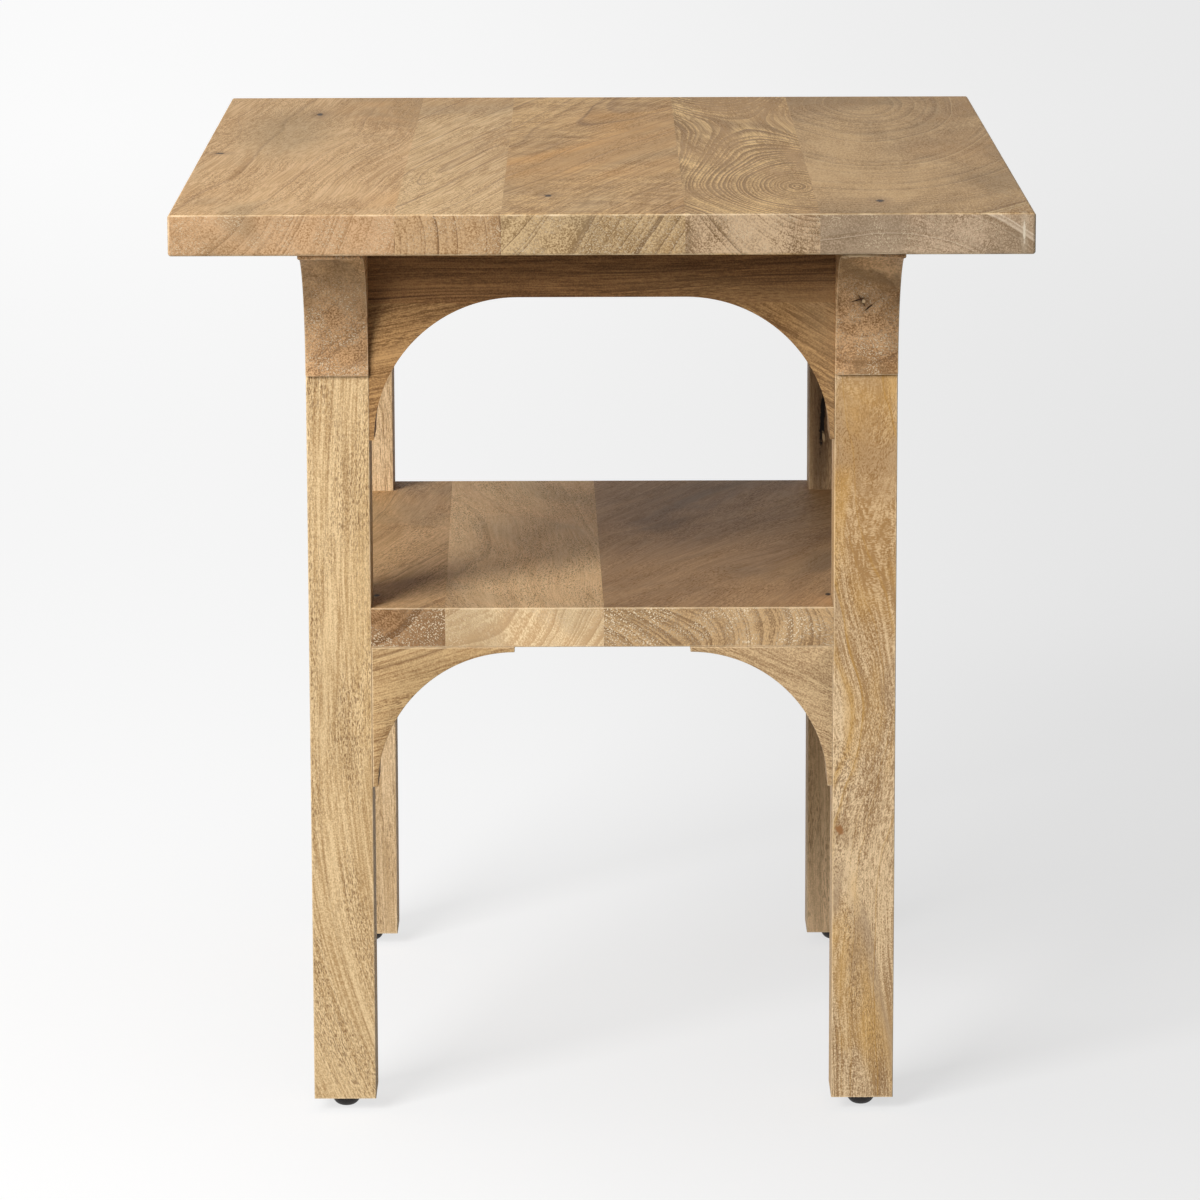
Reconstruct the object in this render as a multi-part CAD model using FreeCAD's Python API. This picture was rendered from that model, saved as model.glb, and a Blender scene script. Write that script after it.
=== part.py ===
import FreeCAD, Part
import math
import os

from FreeCAD import Rotation, Vector

# An accent table in solid hardwood. Sizes are in millimetres: X is the width, Y the depth with the
# front towards -Y, and Z is up. The origin is on the floor, under the middle of the top.

# Top: boards glued edge to edge, running from front to back; the last on the right takes the rest
overall_height = 628.5
top_width = 560.0
top_depth = 700.0
top_thickness = 27.0
top_left_boards = [146.0, 69.0, 119.0, 87.0]
top_edge_radius = 2.0
side_overhang = 83.0
end_overhang = 102.0

# Legs: square posts on nail-on glides
leg_size = 42.0
leg_edge_radius = 0.8
glide_height = 9.5
glide_diameter = 19.0
glide_foot_diameter = 8.0
glide_rim = 2.5
glide_bulge = 1.6
nail_diameter = 2.5
nail_length = 15.0
nail_head_diameter = 7.0
nail_head_thickness = 1.5

# Apron: a rail between each two legs, flush with their outer faces, and under each end a bracket
# of the legs' own thickness; rail and brackets are sawn to one arch
apron_thickness = 24.0
rail_height = 45.5
arch_crown_drop = 41.5
arch_radius = 96.0
arch_tip = 3.0
tenon_thickness = 10.0
tenon_shoulder = 6.0
tenon_spacing = 1.5

# Shelf: boards glued edge to edge, notched round the legs and flush with their outer faces; the
# right board takes the rest. The widths are those at the front, and the glue lines lean to the left
# towards the back
shelf_height = 350.0
shelf_thickness = 27.0
shelf_left_board = 91.5
shelf_middle_board = 106.5
shelf_joint_lean = 6.5
shelf_edge_radius = 1.0
notch_clearance = 0.2

# Quarter-round brackets under the shelf, and corbels under the overhanging ends of the top, both
# as thick as the legs
shelf_bracket_radius = 92.5
shelf_bracket_tip = 3.5
corbel_radius = 90.5
corbel_tip = 3.5
corbel_edge_radius = 1.0

# Corner blocks that tie the rails together and hold the top
block_reach = 70.0
block_end = 18.0
block_height = 30.0

# Dowels and screws
dowel_diameter = 8.0
dowel_depth = 15.0
dowel_stagger = 12.0
corbel_dowel_drop = 15.0
corbel_dowel_spacing = 20.0
bracket_dowel_drop = 20.0
bracket_dowel_reach = 26.0
screw_diameter = 4.0
screw_head_diameter = 8.0
screw_head_height = 2.5
screw_hold = 15.0
rail_screw_seat = 25.0
rail_screw_inset = 12.0
top_screw_inset = 33.0

# Clearances between a fastener or tenon and its hole
hole_clearance = 0.1
hole_end_clearance = 0.5

# Places worked out from the sizes above
top_under = overall_height - top_thickness
leg_outer_x = top_width / 2 - side_overhang
leg_outer_y = top_depth / 2 - end_overhang
leg_inner_x = leg_outer_x - leg_size
leg_inner_y = leg_outer_y - leg_size
leg_middle_x = leg_outer_x - leg_size / 2
leg_middle_y = leg_outer_y - leg_size / 2
rail_middle_x = leg_outer_x - apron_thickness / 2
rail_middle_y = leg_outer_y - apron_thickness / 2
glue_line = top_under - rail_height
arch_spring = top_under - arch_crown_drop - arch_radius
tenon_length = leg_size / 2 - dowel_diameter / 2 - tenon_spacing
shelf_under = shelf_height - shelf_thickness

# The four corners, with the signs of their X and Y
corners = {
    "front_left": (-1, -1),
    "front_right": (1, -1),
    "back_left": (-1, 1),
    "back_right": (1, 1),
}


def box(x_low, x_high, y_low, y_high, z_low, z_high):
    corner = Vector(x_low, y_low, z_low)
    return Part.makeBox(x_high - x_low, y_high - y_low, z_high - z_low, corner)


def rod(start, direction, length, diameter):
    return Part.makeCylinder(diameter / 2, length, start, direction)


def upright_edges(shape):
    return [edge for edge in shape.Edges if abs(edge.tangentAt(edge.FirstParameter).z) > 0.99]


def plate(edges, thickness):
    # A flat outline in the XZ plane, made solid by half the thickness to each side of it
    outline = Part.Wire(edges)
    outline.translate(Vector(0, -thickness / 2, 0))
    return Part.Face(outline).extrude(Vector(0, thickness, 0))


def arc(centre_x, centre_z, radius, from_angle, to_angle):
    def point(angle):
        turn = math.radians(angle)
        return Vector(centre_x + radius * math.cos(turn), 0, centre_z + radius * math.sin(turn))

    return Part.Arc(point(from_angle), point((from_angle + to_angle) / 2), point(to_angle)).toShape()


def joined(points):
    return [Part.makeLine(a, b) for a, b in zip(points, points[1:])]


def ends(edge):
    return edge.valueAt(edge.FirstParameter), edge.valueAt(edge.LastParameter)


def turned(shape, towards, place):
    # Turns a piece made along +X so that it points towards a level direction, then puts it in place
    copy = shape.copy()
    angle = math.degrees(math.atan2(towards.y, towards.x))
    copy.Placement = FreeCAD.Placement(place, Rotation(Vector(0, 0, 1), angle))
    return copy


def quarter_bracket(radius, tip, thickness):
    # The leg's face is at X = 0 and the carried face at Z = 0
    reach = radius + tip
    hollow = arc(reach, -reach, radius, 90, 180)
    upper, lower = ends(hollow)
    straight = joined([lower, Vector(0, 0, -reach), Vector(0, 0, 0), Vector(reach, 0, 0), upper])
    return plate([hollow] + straight, thickness)


def shelf_bracket():
    return quarter_bracket(shelf_bracket_radius, shelf_bracket_tip, leg_size)


def apron_bracket():
    # As a quarter bracket, but its arch runs on into the rail above, so the far end is a fine edge
    drop = glue_line - arch_spring
    end_angle = 180 - math.degrees(math.asin(drop / arch_radius))
    hollow = arc(arch_tip + arch_radius, -drop, arch_radius, end_angle, 180)
    upper, lower = ends(hollow)
    straight = joined([lower, Vector(0, 0, -drop), Vector(0, 0, 0), upper])
    return plate([hollow] + straight, leg_size)


def apron_rail(half_span):
    # A rail along X between two legs, with its lower edge sawn to the arch and a tenon at each end
    # that stops short of the corbels' dowels in the middle of the leg
    drop = glue_line - arch_spring
    end_angle = math.degrees(math.asin(drop / arch_radius))
    middle = half_span - arch_tip - arch_radius
    left = arc(-middle, arch_spring, arch_radius, 180 - end_angle, 90)
    right = arc(middle, arch_spring, arch_radius, 90, end_angle)
    left_low, left_crown = ends(left)
    right_crown, right_low = ends(right)
    around = [
        right_low,
        Vector(half_span, 0, glue_line),
        Vector(half_span, 0, top_under),
        Vector(-half_span, 0, top_under),
        Vector(-half_span, 0, glue_line),
        left_low,
    ]
    rail = plate([left, Part.makeLine(left_crown, right_crown), right] + joined(around), apron_thickness)
    return rail.fuse(tenon(half_span, 0)).fuse(tenon(-half_span, 0)).removeSplitter()


def tenon(shoulder_x, clearance):
    # The tenon of a rail along X, or with a clearance the mortise that takes it
    outward = math.copysign(1, shoulder_x)
    end_clearance = hole_end_clearance if clearance else 0
    end = shoulder_x + outward * (tenon_length + end_clearance)
    half = tenon_thickness / 2 + clearance
    low = glue_line + tenon_shoulder - clearance
    high = top_under - tenon_shoulder + clearance
    return box(min(shoulder_x, end), max(shoulder_x, end), -half, half, low, high)


def dowel(middle, direction):
    return rod(middle - direction * dowel_depth, direction, 2 * dowel_depth, dowel_diameter)


def dowel_hole(middle, direction):
    depth = dowel_depth + hole_end_clearance
    return rod(middle - direction * depth, direction, 2 * depth, dowel_diameter + 2 * hole_clearance)


def screw(seat, direction, length):
    shank = rod(seat, direction, length, screw_diameter)
    head = rod(seat - direction * screw_head_height, direction, screw_head_height, screw_head_diameter)
    return shank.fuse(head).removeSplitter()


def screw_hole(seat, direction, length, pocket):
    # The shank's hole, and a pocket for the head that opens behind it
    shank = rod(seat, direction, length + hole_end_clearance, screw_diameter + 2 * hole_clearance)
    head = rod(seat - direction * pocket, direction, pocket, screw_head_diameter + 2 * hole_clearance)
    return shank.fuse(head)


def nail(x, y, clearance):
    # A glide's nail, or with a clearance the hole that takes it in the glide and the leg
    end_clearance = hole_end_clearance if clearance else 0
    up = Vector(0, 0, 1)
    head_foot = Vector(x, y, glide_height - nail_head_thickness)
    whole_length = nail_head_thickness + nail_length + end_clearance
    head = rod(head_foot, up, nail_head_thickness, nail_head_diameter + 2 * clearance)
    shank = rod(head_foot, up, whole_length, nail_diameter + 2 * clearance)
    return head.fuse(shank).removeSplitter()


def glide(x, y):
    # A domed cap, flat where it stands on the floor
    foot = Vector(glide_foot_diameter / 2, 0, 0)
    rim = Vector(glide_diameter / 2, 0, glide_height - glide_rim)
    chord = rim - foot
    outward = Vector(chord.z, 0, -chord.x).normalize()
    dome = Part.Arc(foot, (foot + rim) / 2 + outward * glide_bulge, rim).toShape()
    inner = [rim, Vector(rim.x, 0, glide_height), Vector(0, 0, glide_height), Vector(0, 0, 0), foot]
    profile = Part.Wire([dome] + joined(inner))
    cap = Part.Face(profile).revolve(Vector(0, 0, 0), Vector(0, 0, 1), 360)
    cap.translate(Vector(x, y, 0))
    return cap


def corner_block(sign_x, sign_y):
    # Fills the corner between two rails, with a slanted inner face and room for the leg's corner
    rail_face_x = leg_outer_x - apron_thickness
    rail_face_y = leg_outer_y - apron_thickness
    low = top_under - block_height
    outline = [
        (0, 0),
        (block_reach, 0),
        (block_reach, block_end),
        (block_end, block_reach),
        (0, block_reach),
        (0, 0),
    ]
    points = [Vector(sign_x * (rail_face_x - a), sign_y * (rail_face_y - b), low) for a, b in outline]
    block = Part.Face(Part.makePolygon(points)).extrude(Vector(0, 0, block_height))
    return block.cut(leg_space(sign_x, sign_y, notch_clearance))


def leg_space(sign_x, sign_y, clearance):
    half = leg_size / 2 + clearance
    x = sign_x * leg_middle_x
    y = sign_y * leg_middle_y
    post = box(x - half, x + half, y - half, y + half, glide_height, top_under)
    return post.makeFillet(leg_edge_radius + clearance, upright_edges(post))


def top_boards():
    # One slab with eased edges, sawn into the boards it is glued from
    half_y = top_depth / 2
    slab = box(-top_width / 2, top_width / 2, -half_y, half_y, top_under, overall_height)
    slab = slab.makeFillet(top_edge_radius, slab.Edges)
    boards = []
    left = -top_width / 2
    for width in top_left_boards + [top_width - sum(top_left_boards)]:
        boards.append(slab.common(box(left, left + width, -half_y, half_y, top_under, overall_height)))
        left = left + width
    return boards


def shelf_boards():
    panel = box(-leg_outer_x, leg_outer_x, -leg_outer_y, leg_outer_y, shelf_under, shelf_height)
    panel = panel.makeFillet(shelf_edge_radius, panel.Edges)
    for sign_x, sign_y in corners.values():
        panel = panel.cut(leg_space(sign_x, sign_y, notch_clearance))
    # Each side of a board is given by its X at the front and at the back
    first_joint = -leg_outer_x + shelf_left_board
    second_joint = first_joint + shelf_middle_board
    sides = [
        (-leg_outer_x, -leg_outer_x),
        (first_joint, first_joint - shelf_joint_lean),
        (second_joint, second_joint - shelf_joint_lean),
        (leg_outer_x, leg_outer_x),
    ]
    boards = []
    for (front_left, back_left), (front_right, back_right) in zip(sides, sides[1:]):
        front_points = [Vector(x, -leg_outer_y, shelf_under) for x in (front_left, front_right)]
        back_points = [Vector(x, leg_outer_y, shelf_under) for x in (back_right, back_left)]
        outline = Part.makePolygon(front_points + back_points + front_points[:1])
        strip = Part.Face(outline).extrude(Vector(0, 0, shelf_thickness))
        boards.append(panel.common(strip))
    return boards


def corbel():
    # A quarter bracket as wide as the leg, with its long upright edges eased
    shape = quarter_bracket(corbel_radius, corbel_tip, leg_size)
    front_edges = [edge for edge in shape.Edges if edge.Curve.TypeId == "Part::GeomCircle"]
    return shape.makeFillet(corbel_edge_radius, front_edges)


wood = {}
dowels = {"corbel_dowels": [], "apron_bracket_dowels": [], "shelf_bracket_dowels": []}
screws = {"rail_screws": [], "top_screws": []}
mortises = []
nails = []
nail_holes = []
fastener_holes = []
glides = {}

for number, board in enumerate(top_boards(), 1):
    wood[f"top_board_{number}"] = board
for number, board in enumerate(shelf_boards(), 1):
    wood[f"shelf_board_{number}"] = board

# Rails, each made along X and turned into its place
along_x = apron_rail(leg_inner_x)
along_y = apron_rail(leg_inner_y)
wood["apron_rail_front"] = turned(along_x, Vector(1, 0, 0), Vector(0, -rail_middle_y, 0))
wood["apron_rail_back"] = turned(along_x, Vector(1, 0, 0), Vector(0, rail_middle_y, 0))
wood["apron_rail_left"] = turned(along_y, Vector(0, 1, 0), Vector(-rail_middle_x, 0, 0))
wood["apron_rail_right"] = turned(along_y, Vector(0, 1, 0), Vector(rail_middle_x, 0, 0))

for corner, (sign_x, sign_y) in corners.items():
    end_name, side_name = corner.split("_")
    leg_x = sign_x * leg_middle_x
    leg_y = sign_y * leg_middle_y
    wood[f"leg_{corner}"] = leg_space(sign_x, sign_y, 0)
    wood[f"corner_block_{corner}"] = corner_block(sign_x, sign_y)

    # The corbel stands out from the leg's front or back face, on two dowels
    outward = Vector(0, sign_y, 0)
    corbel_seat = Vector(leg_x, sign_y * leg_outer_y, top_under)
    wood[f"corbel_{corner}"] = turned(corbel(), outward, corbel_seat)
    for count in range(2):
        drop = corbel_dowel_drop + count * corbel_dowel_spacing
        dowels["corbel_dowels"].append((corbel_seat - Vector(0, 0, drop), outward))

    # One bracket along the front or back and one along the side, each on a level dowel into the leg
    # and an upright one into the middle of the rail or the shelf
    end_foot = Vector(sign_x * leg_inner_x, leg_y, 0)
    side_foot = Vector(leg_x, sign_y * leg_inner_y, 0)
    to_side = Vector(sign_x, 0, 0)
    to_end = Vector(0, sign_y, 0)
    seats = [
        (f"{end_name}_{side_name}", -to_side, to_end, end_foot, 0),
        (f"{side_name}_{end_name}", -to_end, to_side, side_foot, dowel_stagger),
    ]
    kinds = [
        ("apron", apron_bracket(), glue_line, (leg_size - apron_thickness) / 2),
        ("shelf", shelf_bracket(), shelf_under, 0),
    ]
    for place, inward, outer, foot, stagger in seats:
        for kind, shape, height, offset in kinds:
            seat = foot + Vector(0, 0, height)
            wood[f"{kind}_bracket_{place}"] = turned(shape, inward, seat)
            group = dowels[f"{kind}_bracket_dowels"]
            group.append((seat - Vector(0, 0, bracket_dowel_drop + stagger), inward))
            upright = seat + inward * bracket_dowel_reach + outer * offset
            group.append((upright, Vector(0, 0, 1)))

    # Mortises for the two rails that meet at this leg
    mortise_x = tenon(sign_x * leg_inner_x, hole_clearance)
    mortises.append(turned(mortise_x, Vector(1, 0, 0), Vector(0, sign_y * rail_middle_y, 0)))
    mortise_y = tenon(sign_y * leg_inner_y, hole_clearance)
    mortises.append(turned(mortise_y, Vector(0, 1, 0), Vector(sign_x * rail_middle_x, 0, 0)))

    # Screws through the corner block, level into each rail and up into the top
    rail_face_x = sign_x * (leg_outer_x - apron_thickness)
    rail_face = Vector(rail_face_x, sign_y * (leg_outer_y - apron_thickness), 0)
    level = top_under - block_height / 2
    along = block_reach - rail_screw_inset
    screw_length = rail_screw_seat + screw_hold
    for across, beside in [(to_side, to_end), (to_end, to_side)]:
        seat = rail_face - across * rail_screw_seat - beside * along + Vector(0, 0, level)
        screws["rail_screws"].append(screw(seat, across, screw_length))
        fastener_holes.append(screw_hole(seat, across, screw_length, block_reach))
    inset = Vector(sign_x, sign_y, 0) * top_screw_inset
    seat = rail_face - inset + Vector(0, 0, top_under - block_height + screw_head_height)
    top_length = block_height - screw_head_height + screw_hold
    screws["top_screws"].append(screw(seat, Vector(0, 0, 1), top_length))
    fastener_holes.append(screw_hole(seat, Vector(0, 0, 1), top_length, block_height))

    # The glide and its nail
    glides[f"glide_{corner}"] = glide(leg_x, leg_y)
    nails.append(nail(leg_x, leg_y, 0))
    nail_holes.append(nail(leg_x, leg_y, hole_clearance))

for group in dowels.values():
    fastener_holes.extend(dowel_hole(middle, direction) for middle, direction in group)


def drilled(shape, holes):
    for hole in holes:
        if shape.BoundBox.intersect(hole.BoundBox):
            shape = shape.cut(hole)
    return shape


nodes = {}
for name, shape in wood.items():
    nodes[name] = drilled(shape, fastener_holes)
    if name.startswith("leg_"):
        nodes[name] = drilled(nodes[name], mortises + nail_holes)
for name, shape in glides.items():
    nodes[name] = drilled(shape, nail_holes)
for name, group in dowels.items():
    nodes[name] = Part.makeCompound([dowel(middle, direction) for middle, direction in group])
for name, group in screws.items():
    nodes[name] = Part.makeCompound(group)
nodes["glide_nails"] = Part.makeCompound(nails)

os.makedirs("parts", exist_ok=True)
for name, shape in nodes.items():
    shape.exportStep(f"parts/{name}.step")
    solids = len(shape.Solids)
    print(f"{name}: {solids} solid(s), {shape.Volume / 1000:.1f} cm3, valid {shape.isValid()}")
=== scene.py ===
import math

import bpy
from mathutils import Matrix, Vector


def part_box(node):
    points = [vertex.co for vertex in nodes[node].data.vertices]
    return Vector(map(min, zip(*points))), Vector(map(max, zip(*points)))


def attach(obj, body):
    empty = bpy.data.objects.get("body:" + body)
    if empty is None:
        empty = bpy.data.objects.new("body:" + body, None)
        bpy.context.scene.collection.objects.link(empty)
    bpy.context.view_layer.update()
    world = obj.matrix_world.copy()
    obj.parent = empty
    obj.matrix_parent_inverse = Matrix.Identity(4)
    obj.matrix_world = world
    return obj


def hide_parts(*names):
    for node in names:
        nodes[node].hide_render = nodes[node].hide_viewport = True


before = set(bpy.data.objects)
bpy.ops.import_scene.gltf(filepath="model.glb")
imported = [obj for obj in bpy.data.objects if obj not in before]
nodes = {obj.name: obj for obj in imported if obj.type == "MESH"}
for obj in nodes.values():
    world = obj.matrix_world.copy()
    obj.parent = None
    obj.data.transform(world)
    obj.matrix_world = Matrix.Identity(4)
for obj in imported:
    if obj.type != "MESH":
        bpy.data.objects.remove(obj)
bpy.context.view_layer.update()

print("frame loaded,", len(nodes), "nodes")


# Short functions for building node trees

def plug(tree, value, socket):
    if isinstance(value, bpy.types.NodeSocket):
        tree.links.new(value, socket)
    else:
        socket.default_value = value


def addNode(tree, kind, inputs=None, **settings):
    node = tree.nodes.new(kind)
    for key, value in settings.items():
        setattr(node, key, value)
    for key, value in (inputs or {}).items():
        plug(tree, value, node.inputs[key])
    return node


def calc(tree, operation, *values, clamp=False):
    node = addNode(tree, "ShaderNodeMath", operation=operation, use_clamp=clamp)
    for socket, value in zip(node.inputs, values):
        plug(tree, value, socket)
    return node.outputs[0]


def times(tree, first, *others):
    for other in others:
        first = calc(tree, "MULTIPLY", first, other)
    return first


def plusTimes(tree, base, value, factor):
    return calc(tree, "MULTIPLY_ADD", value, factor, base)


def minus(tree, first, second):
    return calc(tree, "SUBTRACT", first, second)


def vectorCalc(tree, operation, *values):
    node = addNode(tree, "ShaderNodeVectorMath", operation=operation)
    for socket, value in zip(node.inputs, values):
        plug(tree, value, socket)
    return node.outputs["Value" if operation in ("LENGTH", "DOT_PRODUCT") else "Vector"]


def scaled(tree, place, factor):
    node = addNode(tree, "ShaderNodeVectorMath", {0: place, "Scale": factor}, operation="SCALE")
    return node.outputs["Vector"]


def axes(tree, place):
    return addNode(tree, "ShaderNodeSeparateXYZ", {0: place}).outputs


def vector(tree, **parts):
    return addNode(tree, "ShaderNodeCombineXYZ", parts).outputs[0]


def smoothStep(tree, value, low, high, outLow=0.0, outHigh=1.0):
    inputs = {"Value": value, "From Min": low, "From Max": high, "To Min": outLow, "To Max": outHigh}
    return addNode(tree, "ShaderNodeMapRange", inputs, interpolation_type="SMOOTHSTEP").outputs["Result"]


def hump(tree, value, start, peak, end):
    rise = smoothStep(tree, value, start, peak)
    return times(tree, rise, smoothStep(tree, value, peak, end, 1.0, 0.0))


def noise(tree, place, detail=1.0, roughness=0.5, distortion=0.0):
    inputs = {"Vector": place, "Scale": 1.0, "Detail": detail}
    inputs.update({"Roughness": roughness, "Distortion": distortion})
    return addNode(tree, "ShaderNodeTexNoise", inputs).outputs


def blendColor(tree, amount, first, second, mode="MIX"):
    # the node itself keeps the amount between 0 and 1
    node = addNode(tree, "ShaderNodeMix", data_type="RGBA", blend_type=mode)
    plug(tree, amount, node.inputs[0])
    plug(tree, first, node.inputs[6])
    plug(tree, second, node.inputs[7])
    return node.outputs[2]


def newGroup(name, inputs, outputs, kind="ShaderNodeTree"):
    tree = bpy.data.node_groups.new(name, kind)
    for label, socketType in inputs:
        tree.interface.new_socket(name=label, in_out="INPUT", socket_type="NodeSocket" + socketType)
    for label, socketType in outputs:
        tree.interface.new_socket(name=label, in_out="OUTPUT", socket_type="NodeSocket" + socketType)
    return tree, tree.nodes.new("NodeGroupInput").outputs, tree.nodes.new("NodeGroupOutput").inputs


def useGroup(tree, group, values):
    return addNode(tree, "ShaderNodeGroup", values, node_tree=group).outputs


def newMaterial(name):
    material = bpy.data.materials.new(name)
    material.use_nodes = True
    material.node_tree.nodes.clear()
    return material, material.node_tree


def tone(red, green, blue):
    # a colour as it looks on a screen, 0 to 255, made linear; a tint that brightens goes past 255
    def linear(part):
        part = part / 255.0
        return part / 12.92 if part <= 0.04045 else ((part + 0.055) / 1.055) ** 2.4
    return (linear(red), linear(green), linear(blue), 1.0)


# What every wood piece starts from; each piece's own dictionary changes some of it
plainWood = {
    "heart": (0.0, 0.0, 0.0),
    "turn": (90.0, 0.0, 0.0),
    "seed": 0.0,
    "bend": 0.0,
    "wander": 0.010,
    "wanderScale": 6.0,
    "ringWidth": 0.007,
    "ringStrength": 0.3,
    "endRingStrength": 0.6,
    "lineStrength": 0.3,
    "broadStrength": 1.0,
    "gritStrength": 0.25,
    "streakStrength": 0.9,
    "fibreStrength": 0.7,
    "poreStrength": 0.5,
    "poreStretch": (1800.0, 1800.0, 200.0),
    "rippleStrength": 0.0,
    "figureScale": 1.0,
    "patchStrength": 0.35,
    "warmStrength": 0.3,
    "speckleStrength": 0.4,
    "light": (206, 175, 134),
    "dark": (166, 133, 96),
    "line": (104, 74, 46),
    "pore": (108, 76, 46),
    "patch": (160, 136, 102),
    "warm": (202, 160, 108),
    "speckle": (228, 208, 176),
    "endTint": (230, 226, 225),
}
plainFinish = {
    # the edge colour is partly lighter sanded wood and partly painted highlight
    "edge": (238, 214, 176),
    "edgeStrength": 0.0,
    "edgeBox": None,
    "edgeWidth": 0.0012,
    "knotsAndShades": [],
    "bump": 0.35,
    "bumpDepth": 0.0004,
    "specular": 0.14,
}
plainKnotAndShade = {"lean": 0.0, "core": (44, 28, 18), "solid": 1.0, "around": (96, 68, 42), "halo": 0.35}
woodColors = ("light", "dark", "line", "pore", "patch", "warm", "speckle", "endTint")
woodVectors = ("heart", "turn", "poreStretch")


def spaced(name):
    # ringWidth becomes Ring Width, as the group's inputs are written
    return "".join(" " + letter if letter.isupper() else letter for letter in name).title()


def woodSocket(key):
    return "Color" if key in woodColors else "Vector" if key in woodVectors else "Float"


# Solid hardwood in metres: growth rings round a heart line, fibres and pores along it. Each layer is a
# noise with so many grains per metre across and along; a figured one also follows the Figure Scale
grainLayers = {
    "broad": {"perMetre": (11.0, 11.0, 2.2), "detail": 2.0, "swirl": 0.5, "figured": True},
    "streak": {"perMetre": (220.0, 220.0, 6.0), "detail": 2.0},
    "fibre": {"perMetre": (700.0, 700.0, 8.0), "detail": 2.0, "shown": (0.3, 0.7)},
    "ripple": {"perMetre": (16.0, 16.0, 70.0), "detail": 2.0, "swirl": 0.8, "figured": True},
    "pore": {"input": "Pore Stretch", "detail": 0.0, "shown": (0.54, 0.64)},
    "cluster": {"perMetre": (50.0, 50.0, 9.0), "detail": 1.0, "shown": (0.36, 0.6)},
    "patch": {"perMetre": (8.0, 8.0, 3.0), "detail": 3.0, "swirl": 0.9, "figured": True,
              "shown": (0.48, 0.66)},
    "warm": {"perMetre": (9.5, 9.5, 2.4), "detail": 2.0, "swirl": 0.6, "figured": True,
             "shown": (0.46, 0.66)},
    "lively": {"perMetre": (7.0, 7.0, 2.0), "detail": 1.0, "swirl": 0.6, "figured": True,
               "shown": (0.36, 0.62), "gives": (0.3, 1.25)},
}
layerRoughness = 0.55
grainSwings = [  # a wide slow swing of the grain, and a small quick one
    {"stretch": (1.0, 1.0, 0.4), "amount": 2.4},
    {"stretch": (7.0, 7.0, 2.0), "amount": 0.13},
]
ringLook = {
    "unevenPerMetre": 90.0,  # how fast the width of the rings changes, and by how many rings
    "unevenRings": 3.0,
    "ring": (0.05, 0.86, 1.0),  # start, peak and end of the late wood within a ring
    "weakest": 0.2,  # the share of its strength that even the faintest ring keeps
    "line": (0.72, 0.88, 1.0),
    "lineChance": (0.25, 0.95),
    "lineStreak": (0.4, 1.2),  # a line is broken up by the streaks, and stronger on end grain
    "lineEndGain": 0.3,
}
endGrainFacing = (0.45, 0.85)
poreLook = {"outsideClusters": 0.25, "endGain": -0.6}
gritLook = {"perMetre": 950.0, "shown": (0.34, 0.66), "speck": (0.54, 0.64), "endGain": 0.6}
plainDepth = 0.42  # how far plain wood lies from Light to Dark
reliefLook = {"fibre": 0.3, "pore": -0.7, "line": -0.2, "grit": 0.15}
roughLook = {"plain": 0.5, "fibre": 0.1, "pore": 0.15, "endGrain": 0.1}
seedSteps = {"X": 1.7, "Y": 2.9, "Z": 4.3}
swingDetail = 1.5


def seedShift(tree, seed):
    return vector(tree, **{axis: times(tree, seed, step) for axis, step in seedSteps.items()})


def grainTurned(tree, pin, place):
    turn = {"Vector": place, "Rotation": pin["Turn"]}
    return addNode(tree, "ShaderNodeVectorRotate", turn, rotation_type="EULER_XYZ").outputs[0]


def grainPlace(tree, pin, shift):
    # relative to the heart line, with Z along the grain; past the heart the line bends to the side
    straight = grainTurned(tree, pin, vectorCalc(tree, "SUBTRACT", pin["Vector"], pin["Heart"]))
    beyond = calc(tree, "MINIMUM", axes(tree, straight)["Z"], 0.0)
    sideways = vector(tree, X=times(tree, beyond, beyond, pin["Bend"]))
    straight = vectorCalc(tree, "SUBTRACT", straight, sideways)
    grain = straight
    for swing in grainSwings:
        place = scaled(tree, vectorCalc(tree, "MULTIPLY", straight, swing["stretch"]), pin["Wander Scale"])
        push = noise(tree, vectorCalc(tree, "ADD", place, shift), swingDetail)["Color"]
        push = vectorCalc(tree, "SUBTRACT", push, (0.5, 0.5, 0.5))
        push = scaled(tree, push, times(tree, pin["Wander"], swing["amount"]))
        grain = vectorCalc(tree, "ADD", grain, push)
    return grain


def woodLayers(tree, pin, grain, shift):
    figured = scaled(tree, grain, pin["Figure Scale"])
    layers = {}
    for name, look in grainLayers.items():
        start = figured if look.get("figured") else grain
        stretch = pin[look["input"]] if "input" in look else look["perMetre"]
        place = vectorCalc(tree, "ADD", vectorCalc(tree, "MULTIPLY", start, stretch), shift)
        layer = noise(tree, place, look["detail"], layerRoughness, look.get("swirl", 0.0))["Fac"]
        if "shown" in look:
            layer = smoothStep(tree, layer, *look["shown"], *look.get("gives", (0.0, 1.0)))
        layers[name] = layer
    return layers


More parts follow.
